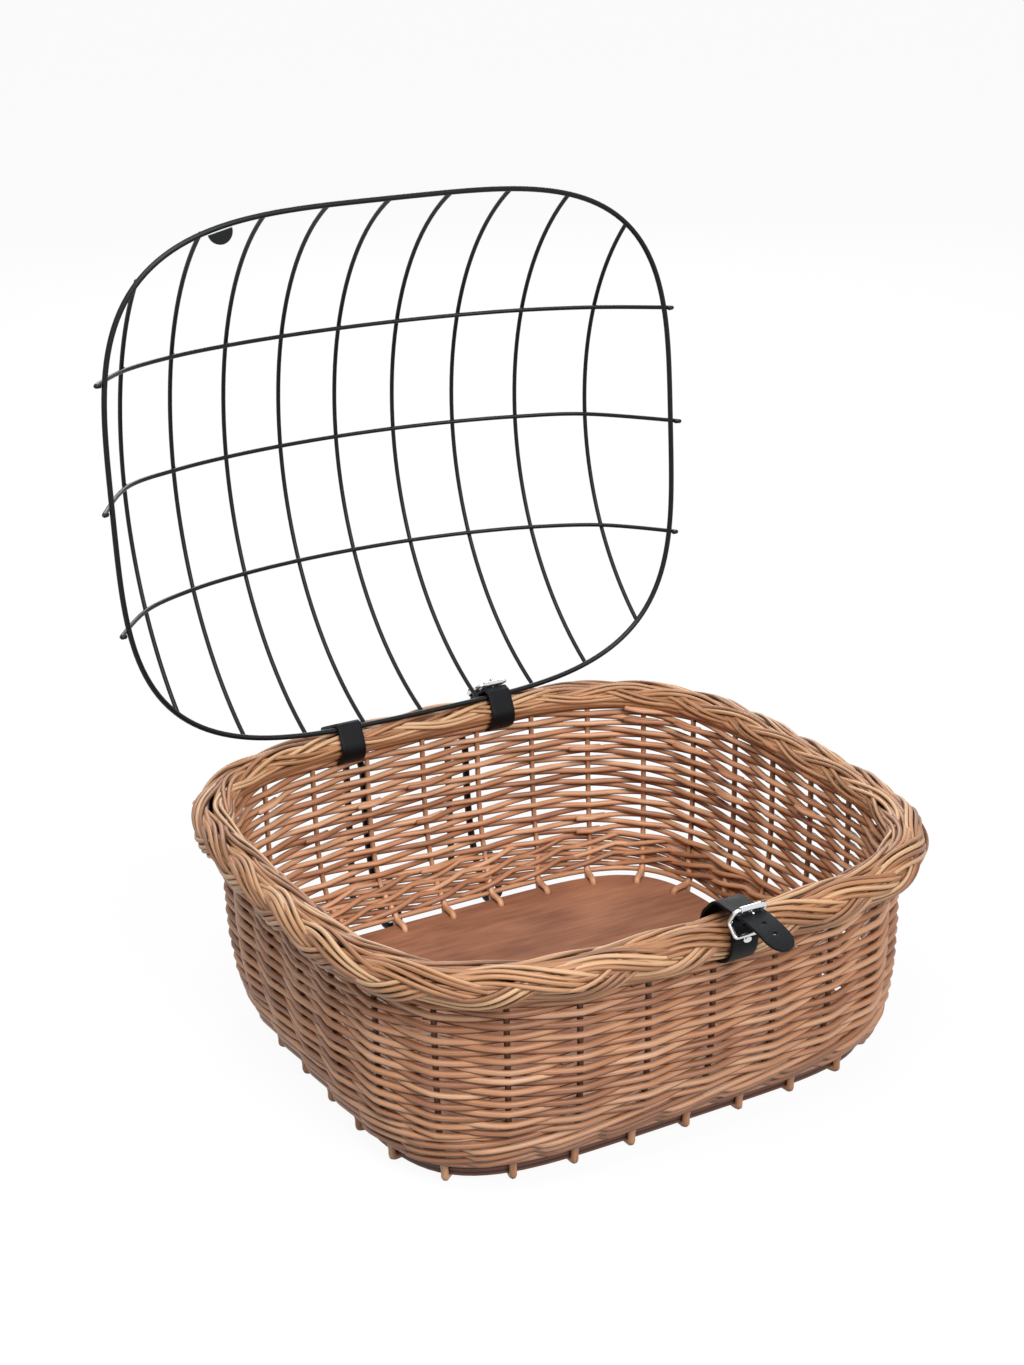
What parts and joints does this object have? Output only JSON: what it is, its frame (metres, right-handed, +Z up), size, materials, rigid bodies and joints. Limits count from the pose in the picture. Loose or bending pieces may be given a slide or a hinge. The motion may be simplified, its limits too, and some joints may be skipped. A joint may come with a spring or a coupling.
{
  "type": "bicycle basket",
  "caption": "Woven willow bicycle basket on a plywood base, with a plaited border, a domed wire lid hinged on leather straps, a buckled front strap and hooks for a handlebar.",
  "frame": {"origin": "middle of the base board's underside", "axes": "+Z up, +Y towards the hinge side, +X to the right as seen from the front"},
  "size_m": [0.516, 0.6581, 0.6167],
  "materials": {
    "brown_willow": "satin varnish",
    "pale_willow": "satin varnish",
    "plywood": "stained plywood",
    "coated_wire": "black plastic coat",
    "black_leather": "smooth",
    "chrome": "polished"
  },
  "bodies": {
    "basket": {"base_board": "plywood", "foot_waling": "brown_willow", "wall_weave": "brown_willow", "rim_border": "pale_willow", "left_hanging_hook": "coated_wire", "right_hanging_hook": "coated_wire", "left_hinge_strap": "black_leather", "right_hinge_strap": "black_leather", "left_hinge_buckle_frame": "chrome", "left_hinge_buckle_prong": "chrome", "right_hinge_buckle_frame": "chrome", "right_hinge_buckle_prong": "chrome"},
    "lid": {"lid_rim_wire": "coated_wire", "lid_rib_1": "coated_wire", "lid_rib_2": "coated_wire", "lid_rib_3": "coated_wire", "lid_rib_4": "coated_wire", "lid_rib_5": "coated_wire", "lid_rib_6": "coated_wire", "lid_rib_7": "coated_wire", "lid_rib_8": "coated_wire", "lid_rib_9": "coated_wire", "lid_bar_1": "coated_wire", "lid_bar_2": "coated_wire", "lid_bar_3": "coated_wire", "lid_lug": "coated_wire"},
    "front_strap": {"front_strap": "black_leather", "front_buckle_frame": "chrome", "front_buckle_prong": "chrome"},
    "front_roller": {"front_buckle_roller": "chrome"},
    "left_hinge_roller": {"left_hinge_buckle_roller": "chrome"},
    "right_hinge_roller": {"right_hinge_buckle_roller": "chrome"}
  },
  "joints": [
    {"name": "lid_hinge", "type": "hinge", "parent": "basket", "child": "lid", "pos_m": [0, 0.215, 0.1845], "axis": [1, 0, 0], "range_deg": [0, 92]},
    {"name": "front_strap_swing", "type": "hinge", "parent": "basket", "child": "front_strap", "pos_m": [0.01, -0.224, 0.1685], "axis": [1, 0, 0], "range_deg": [-25, 20]},
    {"name": "front_roller_spin", "type": "hinge", "parent": "front_strap", "child": "front_roller", "pos_m": [0.01, -0.24937, 0.1967], "axis": [1, 0, 0], "continuous": true},
    {"name": "left_hinge_roller_spin", "type": "hinge", "parent": "basket", "child": "left_hinge_roller", "pos_m": [-0.0706, 0.24927, 0.17117], "axis": [1, 0, 0], "continuous": true},
    {"name": "right_hinge_roller_spin", "type": "hinge", "parent": "basket", "child": "right_hinge_roller", "pos_m": [0.0706, 0.22244, 0.19301], "axis": [1, 0, 0], "continuous": true}
  ]
}
